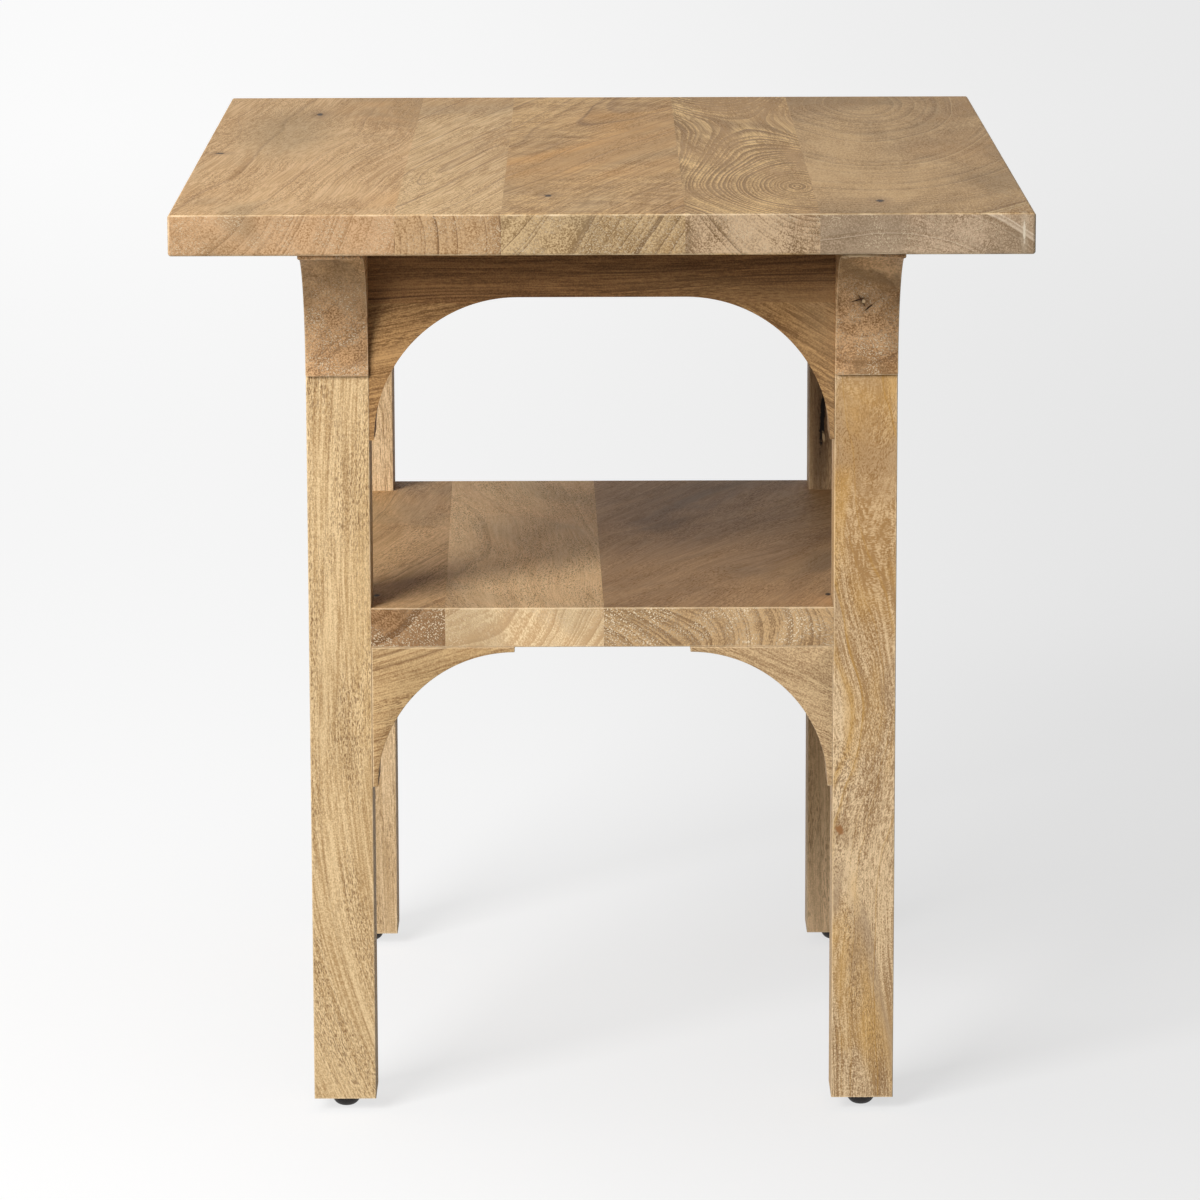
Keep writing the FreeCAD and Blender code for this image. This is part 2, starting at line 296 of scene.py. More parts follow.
def growthRings(tree, pin, grain, streak):
    # a slow rise to the late wood and a quick fall, of a different strength in each ring
    radius = vectorCalc(tree, "LENGTH", vectorCalc(tree, "MULTIPLY", grain, (1, 1, 0)))
    change = {"W": times(tree, radius, ringLook["unevenPerMetre"]), "Scale": 1.0}
    uneven = addNode(tree, "ShaderNodeTexNoise", change, noise_dimensions="1D").outputs["Fac"]
    phase = calc(tree, "DIVIDE", radius, pin["Ring Width"])
    phase = plusTimes(tree, phase, uneven, ringLook["unevenRings"])
    saw = calc(tree, "FRACT", phase)
    number = calc(tree, "ADD", calc(tree, "FLOOR", phase), pin["Seed"])
    chance = addNode(tree, "ShaderNodeTexWhiteNoise", noise_dimensions="1D")
    plug(tree, number, chance.inputs["W"])
    weight = chance.outputs["Value"]
    weakest = ringLook["weakest"]
    gain = plusTimes(tree, weakest, weight, 1.0 - weakest)
    ring = times(tree, hump(tree, saw, *ringLook["ring"]), gain)
    line = times(tree, hump(tree, saw, *ringLook["line"]), smoothStep(tree, weight, *ringLook["lineChance"]))
    plainLine, streakGain = ringLook["lineStreak"]
    return ring, times(tree, line, plusTimes(tree, plainLine, streak, streakGain))


def endGrainMask(tree, pin):
    # where the fibres end in the surface
    normal = addNode(tree, "ShaderNodeNewGeometry").outputs["Normal"]
    facing = vectorCalc(tree, "DOT_PRODUCT", grainTurned(tree, pin, normal), (0, 0, 1))
    return smoothStep(tree, calc(tree, "ABSOLUTE", facing), *endGrainFacing)


def woodDepth(tree, pin, layers, grit, ring, endGrain):
    # 0 is the Light colour and 1 the Dark
    depth = plainDepth
    for name in ("broad", "fibre", "ripple"):
        depth = plusTimes(tree, depth, minus(tree, layers[name], 0.5), pin[spaced(name + "Strength")])
    streaky = times(tree, minus(tree, layers["streak"], 0.5), layers["lively"])
    depth = plusTimes(tree, depth, streaky, pin["Streak Strength"])
    gritty = plusTimes(tree, pin["Grit Strength"], endGrain, gritLook["endGain"])
    depth = plusTimes(tree, depth, minus(tree, grit, 0.5), gritty)
    endGain = minus(tree, pin["End Ring Strength"], pin["Ring Strength"])
    return plusTimes(tree, depth, ring, plusTimes(tree, pin["Ring Strength"], endGrain, endGain))


def makeHardwoodGroup():
    inputs = [("Vector", "Vector")] + [(spaced(key), woodSocket(key)) for key in plainWood]
    outputs = [("Color", "Color"), ("Height", "Float"), ("Roughness", "Float")]
    tree, pin, out = newGroup("hardwood", inputs, outputs)
    shift = seedShift(tree, pin["Seed"])
    grain = grainPlace(tree, pin, shift)
    layers = woodLayers(tree, pin, grain, shift)
    endGrain = endGrainMask(tree, pin)
    ring, line = growthRings(tree, pin, grain, layers["streak"])
    line = times(tree, line, plusTimes(tree, 1.0, endGrain, ringLook["lineEndGain"]))
    dots = noise(tree, scaled(tree, grain, gritLook["perMetre"]))["Fac"]
    grit = smoothStep(tree, dots, *gritLook["shown"])
    speck = times(tree, smoothStep(tree, dots, *gritLook["speck"]), layers["cluster"], endGrain)
    outside = poreLook["outsideClusters"]
    pore = times(tree, layers["pore"], plusTimes(tree, outside, layers["cluster"], 1.0 - outside))
    pore = times(tree, pore, plusTimes(tree, 1.0, endGrain, poreLook["endGain"]))

    def laidOver(color, mask, label):
        return blendColor(tree, times(tree, mask, pin[label + " Strength"]), color, pin[label])

    depth = woodDepth(tree, pin, layers, grit, ring, endGrain)
    color = blendColor(tree, depth, pin["Light"], pin["Dark"])
    color = laidOver(color, layers["warm"], "Warm")
    color = laidOver(color, layers["patch"], "Patch")
    color = laidOver(color, line, "Line")
    color = laidOver(color, pore, "Pore")
    color = blendColor(tree, endGrain, color, pin["End Tint"], "MULTIPLY")
    plug(tree, laidOver(color, speck, "Speckle"), out["Color"])

    masks = {"fibre": layers["fibre"], "pore": pore, "line": line, "grit": grit, "endGrain": endGrain}
    height = 0.0
    for name, amount in reliefLook.items():
        height = plusTimes(tree, height, masks[name], amount)
    plug(tree, height, out["Height"])
    rough = roughLook["plain"]
    for name in ("fibre", "pore", "endGrain"):
        rough = plusTimes(tree, rough, masks[name], roughLook[name])
    plug(tree, rough, out["Roughness"])
    return tree


# Arris, partly sanded wear and partly painted highlight: 1 beside the edges that lie in the faces of a box,
# falling off unevenly over a width
arrisWearAndHighlightLook = {
    "unevenPerMetre": 70.0,
    "unevenDetail": 2.0,
    "narrowest": 0.2,
    "spread": 1.6,
    "sameFace": (0.5, 0.95),
    "full": 0.7,
}


def makeArrisWearAndHighlightGroup():
    inputs = [("Vector", "Vector"), ("Low", "Vector"), ("High", "Vector"), ("Width", "Float")]
    tree, pin, out = newGroup("arris", inputs, [("Mask", "Float")])
    toLow = vectorCalc(tree, "ABSOLUTE", vectorCalc(tree, "SUBTRACT", pin["Vector"], pin["Low"]))
    toHigh = vectorCalc(tree, "ABSOLUTE", vectorCalc(tree, "SUBTRACT", pin["High"], pin["Vector"]))
    near = axes(tree, vectorCalc(tree, "MINIMUM", toLow, toHigh))
    normal = addNode(tree, "ShaderNodeNewGeometry").outputs["Normal"]
    faces = axes(tree, vectorCalc(tree, "ABSOLUTE", normal))
    place = scaled(tree, pin["Vector"], arrisWearAndHighlightLook["unevenPerMetre"])
    uneven = noise(tree, place, arrisWearAndHighlightLook["unevenDetail"])["Fac"]
    share = plusTimes(tree, arrisWearAndHighlightLook["narrowest"], uneven, arrisWearAndHighlightLook["spread"])
    width = times(tree, pin["Width"], share)
    mask = 0.0
    for axis in range(3):
        beside = calc(tree, "SUBTRACT", 1.0, calc(tree, "DIVIDE", near[axis], width), clamp=True)
        acrossEdge = smoothStep(tree, faces[axis], *arrisWearAndHighlightLook["sameFace"], 1.0, 0.0)
        mask = calc(tree, "MAXIMUM", times(tree, beside, acrossEdge), mask)
    plug(tree, smoothStep(tree, mask, 0.0, arrisWearAndHighlightLook["full"]), out["Mask"])
    return tree


# A pin knot, crack or chip, and spots of painted shade too: 1 in its core, and a wider halo, in shares of
# its size
knotAndShadeLook = {"wobblePerMetre": 400.0, "wobble": 0.8, "core": (0.5, 1.0), "halo": (0.6, 4.0)}


def makePinKnotAndShadeGroup():
    inputs = [("Vector", "Vector"), ("Middle", "Vector"), ("Size", "Vector"), ("Lean", "Float")]
    tree, pin, out = newGroup("pinKnotAndShade", inputs, [("Core", "Float"), ("Halo", "Float")])
    apart = vectorCalc(tree, "SUBTRACT", pin["Vector"], pin["Middle"])
    lean = {"Vector": apart, "Axis": (0, 1, 0), "Angle": pin["Lean"]}
    apart = addNode(tree, "ShaderNodeVectorRotate", lean, rotation_type="AXIS_ANGLE").outputs[0]
    apart = vectorCalc(tree, "DIVIDE", apart, pin["Size"])
    uneven = noise(tree, scaled(tree, pin["Vector"], knotAndShadeLook["wobblePerMetre"]))["Fac"]
    wobble = plusTimes(tree, -knotAndShadeLook["wobble"] / 2, uneven, knotAndShadeLook["wobble"])
    reach = calc(tree, "ADD", vectorCalc(tree, "LENGTH", apart), wobble)
    plug(tree, smoothStep(tree, reach, *knotAndShadeLook["core"], 1.0, 0.0), out["Core"])
    plug(tree, smoothStep(tree, reach, *knotAndShadeLook["halo"], 1.0, 0.0), out["Halo"])
    return tree


hardwoodGroup = makeHardwoodGroup()
arrisWearAndHighlightGroup = makeArrisWearAndHighlightGroup()
pinKnotAndShadeGroup = makePinKnotAndShadeGroup()
print("wood groups ready")


# lays one mark on the colour: a knot, crack, chip, or a spot of painted shade
def withKnotAndShade(tree, place, color, changes):
    mark = dict(plainKnotAndShade, **changes)
    lean = math.radians(mark["lean"])
    values = {"Vector": place, "Middle": mark["middle"], "Size": mark["size"], "Lean": lean}
    knotAndShadeMark = useGroup(tree, pinKnotAndShadeGroup, values)
    color = blendColor(tree, times(tree, knotAndShadeMark["Halo"], mark["halo"]), color, tone(*mark["around"]))
    return blendColor(tree, times(tree, knotAndShadeMark["Core"], mark["solid"]), color, tone(*mark["core"]))


def withArrisWearAndHighlight(tree, place, color, finish):
    low, high = finish["edgeBox"]
    values = {"Vector": place, "Low": low, "High": high, "Width": finish["edgeWidth"]}
    arris = useGroup(tree, arrisWearAndHighlightGroup, values)
    # the cream laid along the edges is partly sanded wear and partly painted highlight
    amount = times(tree, arris["Mask"], finish["edgeStrength"])
    return blendColor(tree, amount, color, tone(*finish["edge"]))


def woodMaterial(name, changes):
    wood = {key: changes.get(key, value) for key, value in plainWood.items()}
    finish = {key: changes.get(key, value) for key, value in plainFinish.items()}
    material, tree = newMaterial(name)
    place = addNode(tree, "ShaderNodeTexCoord").outputs["Object"]
    values = {"Vector": place}
    for key, value in wood.items():
        if key == "turn":
            value = tuple(math.radians(angle) for angle in value)
        elif key in woodColors:
            value = tone(*value)
        values[spaced(key)] = value
    grained = useGroup(tree, hardwoodGroup, values)
    color = grained["Color"]
    for knotAndShadeMark in finish["knotsAndShades"]:
        color = withKnotAndShade(tree, place, color, knotAndShadeMark)
    if finish["edgeBox"]:
        color = withArrisWearAndHighlight(tree, place, color, finish)
    relief = {"Strength": finish["bump"], "Distance": finish["bumpDepth"], "Height": grained["Height"]}
    shader = addNode(tree, "ShaderNodeBsdfPrincipled", {
        "Base Color": color,
        "Roughness": grained["Roughness"],
        "Normal": addNode(tree, "ShaderNodeBump", relief).outputs["Normal"],
        "Specular IOR Level": finish["specular"],
    })
    addNode(tree, "ShaderNodeOutputMaterial", {"Surface": shader.outputs[0]})
    return material


def dress(nodeName, material):
    mesh = nodes[nodeName].data
    mesh.materials.clear()
    mesh.materials.append(material)


def boxOf(names):
    corners = [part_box(name) for name in names]
    low = tuple(min(corner[0][axis] for corner in corners) for axis in range(3))
    high = tuple(max(corner[1][axis] for corner in corners) for axis in range(3))
    return low, high


# Top: five boards, left to right, grain from front to back
topNames = [f"top_board_{number}" for number in range(1, 6)]
topBox = boxOf(topNames)
topFront = topBox[0][1]
topFace = topBox[1][2]
# the top's edges get the most sanded wear and painted highlight
topEdgeStrength = 0.9
topBoards = {
    "top_board_1": {
        "seed": 3.1, "heart": (-0.31, 0.0, topFace + 0.0715), "turn": (88, -7, 0),
        "ringWidth": 0.005, "wander": 0.022, "lineStrength": 0.2, "broadStrength": 2.1,
        "fibreStrength": 0.7, "streakStrength": 0.35, "patchStrength": 0.5, "warmStrength": 0.5,
        "light": (212, 174, 126), "dark": (168, 130, 84), "patch": (142, 120, 84),
        "warm": (212, 164, 108), "endTint": (232, 230, 240),
        "knotsAndShades": [
            {"middle": (-0.225, 0.12, topFace), "size": (0.014, 0.06, 0.02), "solid": 0.0,
             "around": (128, 108, 74), "halo": 0.45},
            {"middle": (-0.2078, 0.2347, topFace), "size": (0.003, 0.010, 0.02)},
            {"middle": (-0.267, -0.01, topFace), "size": (0.004, 0.005, 0.02)},
        ],
    },
    "top_board_2": {
        "seed": 7.7, "heart": (-0.083, 0.0, topFace - 0.006), "turn": (87, -13, 0),
        "ringWidth": 0.0042, "wander": 0.012, "lineStrength": 0.5, "broadStrength": 1.5,
        "fibreStrength": 0.8, "streakStrength": 0.55,
        "light": (212, 178, 130), "dark": (162, 126, 82), "endTint": (222, 218, 222),
    },
    "top_board_3": {
        "seed": 12.4, "heart": (-0.07, 0.0, topFace + 0.095), "turn": (91, -17, 0),
        "ringWidth": 0.0052, "wander": 0.014, "lineStrength": 0.5, "rippleStrength": 1.6,
        "broadStrength": 1.6, "streakStrength": 0.6, "fibreStrength": 0.7, "warmStrength": 0.7,
        "light": (204, 166, 114), "dark": (142, 108, 66), "patch": (144, 122, 90),
        "warm": (200, 150, 88), "endTint": (238, 250, 272),
        "knotsAndShades": [{"middle": (-0.0352, -0.2543, topFace), "size": (0.003, 0.007, 0.02)}],
    },
    "top_board_4": {  # its bent heart line gives ovals at the front and a star at the back
        "seed": 18.2, "heart": (0.1327, -0.2096, topFace), "turn": (-69, -4, -91.5), "bend": 0.58,
        "ringWidth": 0.0028, "wander": 0.016, "figureScale": 1.8, "lineStrength": 0.4,
        "ringStrength": 1.5, "fibreStrength": 0.5, "patchStrength": 0.1, "broadStrength": 2.4,
        "light": (218, 181, 126), "dark": (136, 104, 62), "endTint": (222, 229, 261),
    },
    "top_board_5": {
        "seed": 25.0, "heart": (0.195, 0.30, topFace), "turn": (74, -2, 0),
        "ringWidth": 0.006, "wander": 0.022, "wanderScale": 5.0, "streakStrength": 0.4,
        "ringStrength": 0.6, "lineStrength": 0.6, "fibreStrength": 0.5, "broadStrength": 2.2,
        "patchStrength": 0.5, "light": (188, 154, 108), "dark": (126, 97, 60),
        "patch": (126, 102, 68), "line": (206, 176, 130), "endTint": (254, 268, 314),
        "knotsAndShades": [
            {"middle": (0.1825, -0.2856, topFace), "size": (0.0035, 0.008, 0.02)},
            {"middle": (0.2725, topFront, topFace - 0.012), "size": (0.001, 0.004, 0.009),
             "core": (204, 190, 168), "around": (190, 174, 150), "halo": 0.3},
        ],
    },
}
for name, changes in topBoards.items():
    dress(name, woodMaterial(name, dict(changes, edgeBox=topBox, edgeStrength=topEdgeStrength)))
print("top dressed")

# Shelf: three boards
shelfNames = [f"shelf_board_{number}" for number in range(1, 4)]
shelfBox = boxOf(shelfNames)
shelfFace = shelfBox[1][2]
shelfEdgeStrength = 0.5
# painted shade for the gaps at the front legs' notches
notchGapShadeLook = {"aside": 0.002, "behind": 0.003, "size": (0.0024, 0.006, 0.01), "halo": 0.2}


def notchGapShade(legName, side):
    # painted shade: a dark spot for the shadow in the gap at the inner back corner of a front leg's notch
    low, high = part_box(legName)
    inner = high[0] if side > 0 else low[0]
    middle = (inner + side * notchGapShadeLook["aside"], high[1] + notchGapShadeLook["behind"], shelfFace)
    return {"middle": middle, "size": notchGapShadeLook["size"], "halo": notchGapShadeLook["halo"]}


shelfBoards = {
    "shelf_board_1": {
        "seed": 31.0, "heart": (-0.15, 0.0, shelfFace + 0.05), "turn": (93, -16, 0),
        "ringWidth": 0.006, "wander": 0.03, "fibreStrength": 0.4, "streakStrength": 0.5,
        "speckleStrength": 0.7, "light": (240, 198, 144), "dark": (170, 128, 82),
        "endTint": (184, 176, 174), "knotsAndShades": [notchGapShade("leg_front_left", 1)],
    },
    "shelf_board_2": {
        "seed": 37.0, "heart": (-0.16, 0.0, shelfFace + 0.10), "turn": (89, 4, 0),
        "ringWidth": 0.0045, "wander": 0.04, "lineStrength": 0.1, "fibreStrength": 0.35,
        "streakStrength": 0.4, "ringStrength": 0.15, "endRingStrength": 1.0, "broadStrength": 1.8,
        "light": (252, 216, 164), "dark": (212, 168, 118), "endTint": (236, 244, 254),
    },
    "shelf_board_3": {
        "seed": 43.0, "heart": (0.03, 0.0, shelfFace - 0.08), "turn": (91, -24, 0),
        "ringWidth": 0.0042, "wander": 0.05, "fibreStrength": 0.35, "streakStrength": 0.4,
        "ringStrength": 0.15, "endRingStrength": 0.95, "lineStrength": 0.12, "broadStrength": 2.4,
        "patchStrength": 0.6, "speckleStrength": 0.95,
        "light": (198, 158, 112), "dark": (140, 106, 72), "patch": (124, 100, 72),
        "endTint": (254, 263, 270), "knotsAndShades": [notchGapShade("leg_front_right", -1)],
    },
}
for name, changes in shelfBoards.items():
    dress(name, woodMaterial(name, dict(changes, edgeBox=shelfBox, edgeStrength=shelfEdgeStrength)))
print("shelf dressed")

# Legs: grain up and down, leaning near the foot of one and swirling in another
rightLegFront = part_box("leg_front_right")[0][1]
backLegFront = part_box("leg_back_right")[0][1]
legEdgeStrength = 0.35
legs = {
    "leg_front_left": {
        "seed": 51.0, "heart": (-0.30, -0.42, 0.28), "turn": (1.5, -1.0, 0), "bend": 0.8,
        "wander": 0.010, "poreStrength": 0.7, "poreStretch": (2300.0, 2300.0, 330.0),
        "streakStrength": 0.35, "fibreStrength": 0.8, "gritStrength": 0.6, "patchStrength": 0.2,
        "light": (223, 194, 149), "dark": (175, 142, 98), "warm": (220, 186, 132),
    },
    "leg_front_right": {
        "seed": 57.0, "heart": (0.24, -0.33, 0.30), "turn": (-2, 2.5, 0),
        "wander": 0.055, "wanderScale": 8.0, "figureScale": 2.4, "broadStrength": 2.4,
        "poreStrength": 0.6, "poreStretch": (1900.0, 1900.0, 420.0), "lineStrength": 0.6,
        "streakStrength": 0.7, "fibreStrength": 0.9, "gritStrength": 0.8, "warmStrength": 0.6,
        "patchStrength": 0.75, "light": (224, 196, 156), "dark": (158, 126, 89),
        "patch": (170, 144, 114), "warm": (204, 160, 90), "line": (184, 140, 68),
        "knotsAndShades": [
            {"middle": (0.180, rightLegFront, 0.43), "size": (0.012, 0.02, 0.045), "solid": 0.0,
             "around": (172, 124, 54), "halo": 0.35},
            {"middle": (0.160, rightLegFront, 0.1965), "size": (0.003, 0.02, 0.005), "lean": 25.0,
             "core": (150, 106, 66), "around": (120, 88, 54)},
        ],
    },
    "leg_back_left": {
        "seed": 63.0, "heart": (-0.26, 0.30, 0.0), "turn": (1, 1, 0), "poreStrength": 0.5,
        "broadStrength": 1.8, "gritStrength": 0.5, "light": (232, 202, 160), "dark": (186, 154, 112),
    },
    "leg_back_right": {  # painted shade darkens its upper part, with a crack below it
        "seed": 69.0, "heart": (0.10, 0.33, 0.0), "turn": (-1, 1.5, 0), "gritStrength": 0.4,
        "light": (242, 208, 164), "dark": (200, 166, 126),
        "knotsAndShades": [
            # painted shade: a dark brown halo over the upper part of the leg, below the top and apron
            {"middle": (0.170, backLegFront, 0.44), "size": (0.02, 0.03, 0.03), "solid": 0.0,
             "around": (84, 48, 24), "halo": 0.4},
            {"middle": (0.165, backLegFront, 0.4035), "size": (0.0024, 0.02, 0.03), "lean": -3.0,
             "core": (20, 13, 8), "around": (64, 42, 26), "halo": 0.6},
            {"middle": (0.1658, backLegFront, 0.3895), "size": (0.0013, 0.02, 0.005), "lean": 8.0,
             "core": (206, 178, 138), "halo": 0.0},
        ],
    },
}
for name, changes in legs.items():
    dress(name, woodMaterial(name, dict(changes, edgeBox=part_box(name), edgeStrength=legEdgeStrength)))
print("legs dressed")


# Quarter-round pieces: the hollow follows an arc, the other side the leg and what it carries
quarterRounds = {
    "shelf_bracket": {"slot": "bracket_wood", "tip": 0.0035, "radius": 0.0925, "eased": 0.0005},
    "apron_bracket": {"slot": "apron_wood", "tip": 0.003, "radius": 0.096, "eased": 0.0},
    "corbel": {"slot": "corbel_wood", "tip": 0.0035, "radius": 0.0905, "eased": 0.001},
}
hollowSteps = 49
weldDistance = 0.00001
crispAngle = math.radians(30)
easedSegments = 2


def makeQuarterRoundTree():
    inputs = [("Radius", "Float"), ("Tip", "Float"), ("Drop", "Float"), ("Thickness", "Float"),
              ("Steps", "Int"), ("Place", "Vector"), ("Heading", "Float"), ("Finish", "Material")]
    tree, pin, out = newGroup("quarterRound", inputs, [("Geometry", "Geometry")], "GeometryNodeTree")
    radius = pin["Radius"]
    drop = pin["Drop"]
    grid = {"Vertices X": pin["Steps"], "Vertices Y": 2, "Vertices Z": 2}
    bar = addNode(tree, "GeometryNodeMeshCube", grid)
    spot = axes(tree, addNode(tree, "GeometryNodeInputPosition").outputs[0])
    run = calc(tree, "ADD", spot["X"], 0.5)
    # the arc springs level with the drop and ends where it meets the carried face, or short of it by the tip
    rise = calc(tree, "MINIMUM", calc(tree, "DIVIDE", drop, radius), 1.0)
    endAngle = minus(tree, math.pi, calc(tree, "ARCSINE", rise))
    angle = plusTimes(tree, endAngle, run, minus(tree, math.pi, endAngle))
    middleX = calc(tree, "ADD", pin["Tip"], radius)
    hollowX = plusTimes(tree, middleX, calc(tree, "COSINE", angle), radius)
    hollowZ = minus(tree, times(tree, calc(tree, "SINE", angle), radius), drop)
    # the other side runs along the carried face for the first half, then down the leg
    endX = plusTimes(tree, middleX, calc(tree, "COSINE", endAngle), radius)
    backX = times(tree, endX, calc(tree, "SUBTRACT", 1.0, times(tree, run, 2.0), clamp=True))
    down = calc(tree, "MULTIPLY_ADD", run, 2.0, -1.0, clamp=True)
    backZ = times(tree, drop, -1.0, down)
    side = calc(tree, "ADD", spot["Z"], 0.5)

    def between(first, second):
        return plusTimes(tree, first, minus(tree, second, first), side)

    def then(kind, label, geometry, **others):
        return addNode(tree, kind, {label: geometry, **others}).outputs[0]

    shaped = vector(tree, X=between(hollowX, backX), Y=times(tree, spot["Y"], pin["Thickness"]),
                    Z=between(hollowZ, backZ))
    piece = then("GeometryNodeSetPosition", "Geometry", bar.outputs["Mesh"], Position=shaped)
    piece = then("GeometryNodeFlipFaces", "Mesh", piece)
    piece = then("GeometryNodeMergeByDistance", "Geometry", piece, Distance=weldDistance)
    heading = vector(tree, Z=pin["Heading"])
    piece = then("GeometryNodeTransform", "Geometry", piece, Translation=pin["Place"], Rotation=heading)
    piece = then("GeometryNodeRealizeInstances", "Geometry", piece)
    piece = then("GeometryNodeSetMaterial", "Geometry", piece, Material=pin["Finish"])
    plug(tree, piece, out["Geometry"])
    return tree


quarterRoundTree = makeQuarterRoundTree()


def easeEdges(holder, width):
    bevel = holder.modifiers.new("eased", "BEVEL")
    bevel.width = width
    bevel.segments = easedSegments
    bevel.limit_method = "ANGLE"
    bevel.angle_limit = crispAngle


def makeQuarterRound(nodeName, sizes, eased):
    holder = bpy.data.objects.new(nodeName + "_holder", bpy.data.meshes.new(nodeName + "_holder"))
    bpy.context.scene.collection.objects.link(holder)
    modifier = holder.modifiers.new("quarterRound", "NODES")
    modifier.node_group = quarterRoundTree
    for item in quarterRoundTree.interface.items_tree:
        if item.in_out == "INPUT":
            modifier[item.identifier] = sizes[item.name]
    if eased > 0.0:
        easeEdges(holder, eased)
    graph = bpy.context.evaluated_depsgraph_get()
    mesh = bpy.data.meshes.new_from_object(holder.evaluated_get(graph), depsgraph=graph)
    bpy.data.objects.remove(holder)
    mesh.shade_smooth()
    piece = bpy.data.objects.new(nodeName + "_shaped", mesh)
    bpy.context.scene.collection.objects.link(piece)
    crisp = piece.modifiers.new("crisp", "EDGE_SPLIT")
    crisp.split_angle = crispAngle
    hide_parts(nodeName)
    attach(piece, "root")


def pointing(kind, corner):
    # unit steps in X and Y from the leg outwards along the piece
    first, second = corner.split("_")
    if kind == "corbel":
        return (0, -1) if first == "front" else (0, 1)
    steps = {"left": (1, 0), "right": (-1, 0), "front": (0, 1), "back": (0, -1)}
    return steps[second]


def startOf(low, high, step):
    # the end of the piece that its step leads away from, or its middle where there is no step
    return low if step > 0 else high if step < 0 else (low + high) / 2


def placeQuarterRound(name, kind, material):
    # the direction it points in, and the face of the leg it stands on, come from its node's box
    low, high = (Vector(corner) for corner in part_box(name))
    stepX, stepY = pointing(kind, name[len(kind) + 1:])
    sizes = quarterRounds[kind]
    makeQuarterRound(name, {
        "Radius": sizes["radius"],
        "Tip": sizes["tip"],
        "Drop": high.z - low.z,
        "Thickness": high.y - low.y if stepX else high.x - low.x,
        "Steps": hollowSteps,
        "Place": Vector((startOf(low.x, high.x, stepX), startOf(low.y, high.y, stepY), high.z)),
        "Heading": math.atan2(stepY, stepX),
        "Finish": material,
    }, sizes["eased"])


# Rails, brackets, corbels and the wood inside
woods = {
    "shelf_bracket": {
        "wander": 0.02, "ringWidth": 0.005, "lineStrength": 0.55, "poreStrength": 0.7,
        "streakStrength": 1.3, "gritStrength": 0.5, "light": (203, 170, 122), "dark": (152, 116, 76),
        "edgeStrength": 0.45, "edgeWidth": 0.0009,
    },
    "apron_bracket": {
        "wander": 0.018, "ringWidth": 0.005, "lineStrength": 0.5, "poreStrength": 0.7,
        "streakStrength": 1.2, "gritStrength": 0.4, "light": (188, 146, 95), "dark": (114, 80, 45),
    },
    # darker than the brackets: partly the rail's own darker wood, partly painted shade for the shadow under
    # the top's overhang
    "apron_rail": {
        "wander": 0.018, "ringWidth": 0.006, "lineStrength": 0.6, "poreStrength": 0.7,
        "streakStrength": 1.5, "gritStrength": 0.4, "light": (166, 122, 76), "dark": (96, 64, 35),
        "line": (66, 42, 24),
    },
    "corbel": {
        "figureScale": 2.5, "speckleStrength": 0.7, "lineStrength": 0.15, "endRingStrength": 0.3,
        "broadStrength": 1.9, "patchStrength": 0.5, "light": (228, 186, 137), "dark": (148, 110, 70),
        "patch": (136, 112, 82), "edgeStrength": 0.45, "edgeWidth": 0.0009,
    },
}
# How many degrees the grain of some pieces leans to the side; the others have the plain lean
grainLeans = {
    "apron_bracket_front_left": 11.0,
    "apron_bracket_front_right": -30.0,
    "shelf_bracket_front_left": 12.0,
    "shelf_bracket_front_right": -24.0,
    "apron_rail_front": 2.0,
}
plainLean = 3.0
plainRise = 1.5
heartAside = 0.05  # a rail's or bracket's heart line lies beside and above it
heartAbove = 0.12
firstSeed = 80.0
seedStep = 5.3

# The pith of the right corbel, and marks round it that pass through the whole corbel
corbelLow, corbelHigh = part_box("corbel_front_right")
pith = ((corbelLow[0] + corbelHigh[0]) / 2 - 0.003, corbelLow[1] + 0.042, corbelHigh[2] - 0.042)
markDepth = 0.2


def pithMark(aside, above, width, height, **look):
    mark = {"middle": (pith[0] + aside, pith[1], pith[2] + above), "size": (width, markDepth, height)}
    return dict(mark, **look)


# What single pieces change
singleChanges = {
    "shelf_bracket_front_right": {
        "streakStrength": 0.6, "lineStrength": 0.15, "gritStrength": 0.8,
        "light": (206, 176, 134), "dark": (158, 127, 92),
    },
    "corbel_front_left": {"heart": (-0.25, -0.30, 0.62)},
    "corbel_front_right": {
        "heart": pith,
        "knotsAndShades": [
            pithMark(-0.004, 0.001, 0.006, 0.0007, lean=20.0, halo=0.25),
            pithMark(-0.001, 0.0, 0.0007, 0.006, lean=30.0, halo=0.25),
            pithMark(0.004, -0.004, 0.006, 0.0007, lean=42.0, halo=0.25),
            pithMark(0.0, 0.0, 0.0016, 0.0016, core=(206, 176, 136), around=(70, 46, 28), halo=0.6),
            pithMark(-0.006, 0.0403, 0.014, 0.0012, core=(216, 188, 148), halo=0.0),
        ],
    },
}


def pieceWood(name, kind, plain):
    # the grain lies along X in front and back pieces, and along Y in side pieces and corbels
    alongX = kind != "corbel" and name[len(kind) + 1:].split("_")[0] in ("front", "back")
    lean = grainLeans.get(name, plainLean)
    changes = dict(plain, **woods[kind])
    changes["turn"] = (plainRise, -90.0 + lean, 0.0) if alongX else (90.0 + plainRise, lean, 0.0)
    if kind != "corbel":
        aside = (0.0, heartAside, heartAbove) if alongX else (heartAside, 0.0, heartAbove)
        changes["heart"] = tuple(Vector(plain["heart"]) + Vector(aside))
    changes.update(singleChanges.get(name, {}))
    if "edgeStrength" in changes:
        changes["edgeBox"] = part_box(name)
    return changes


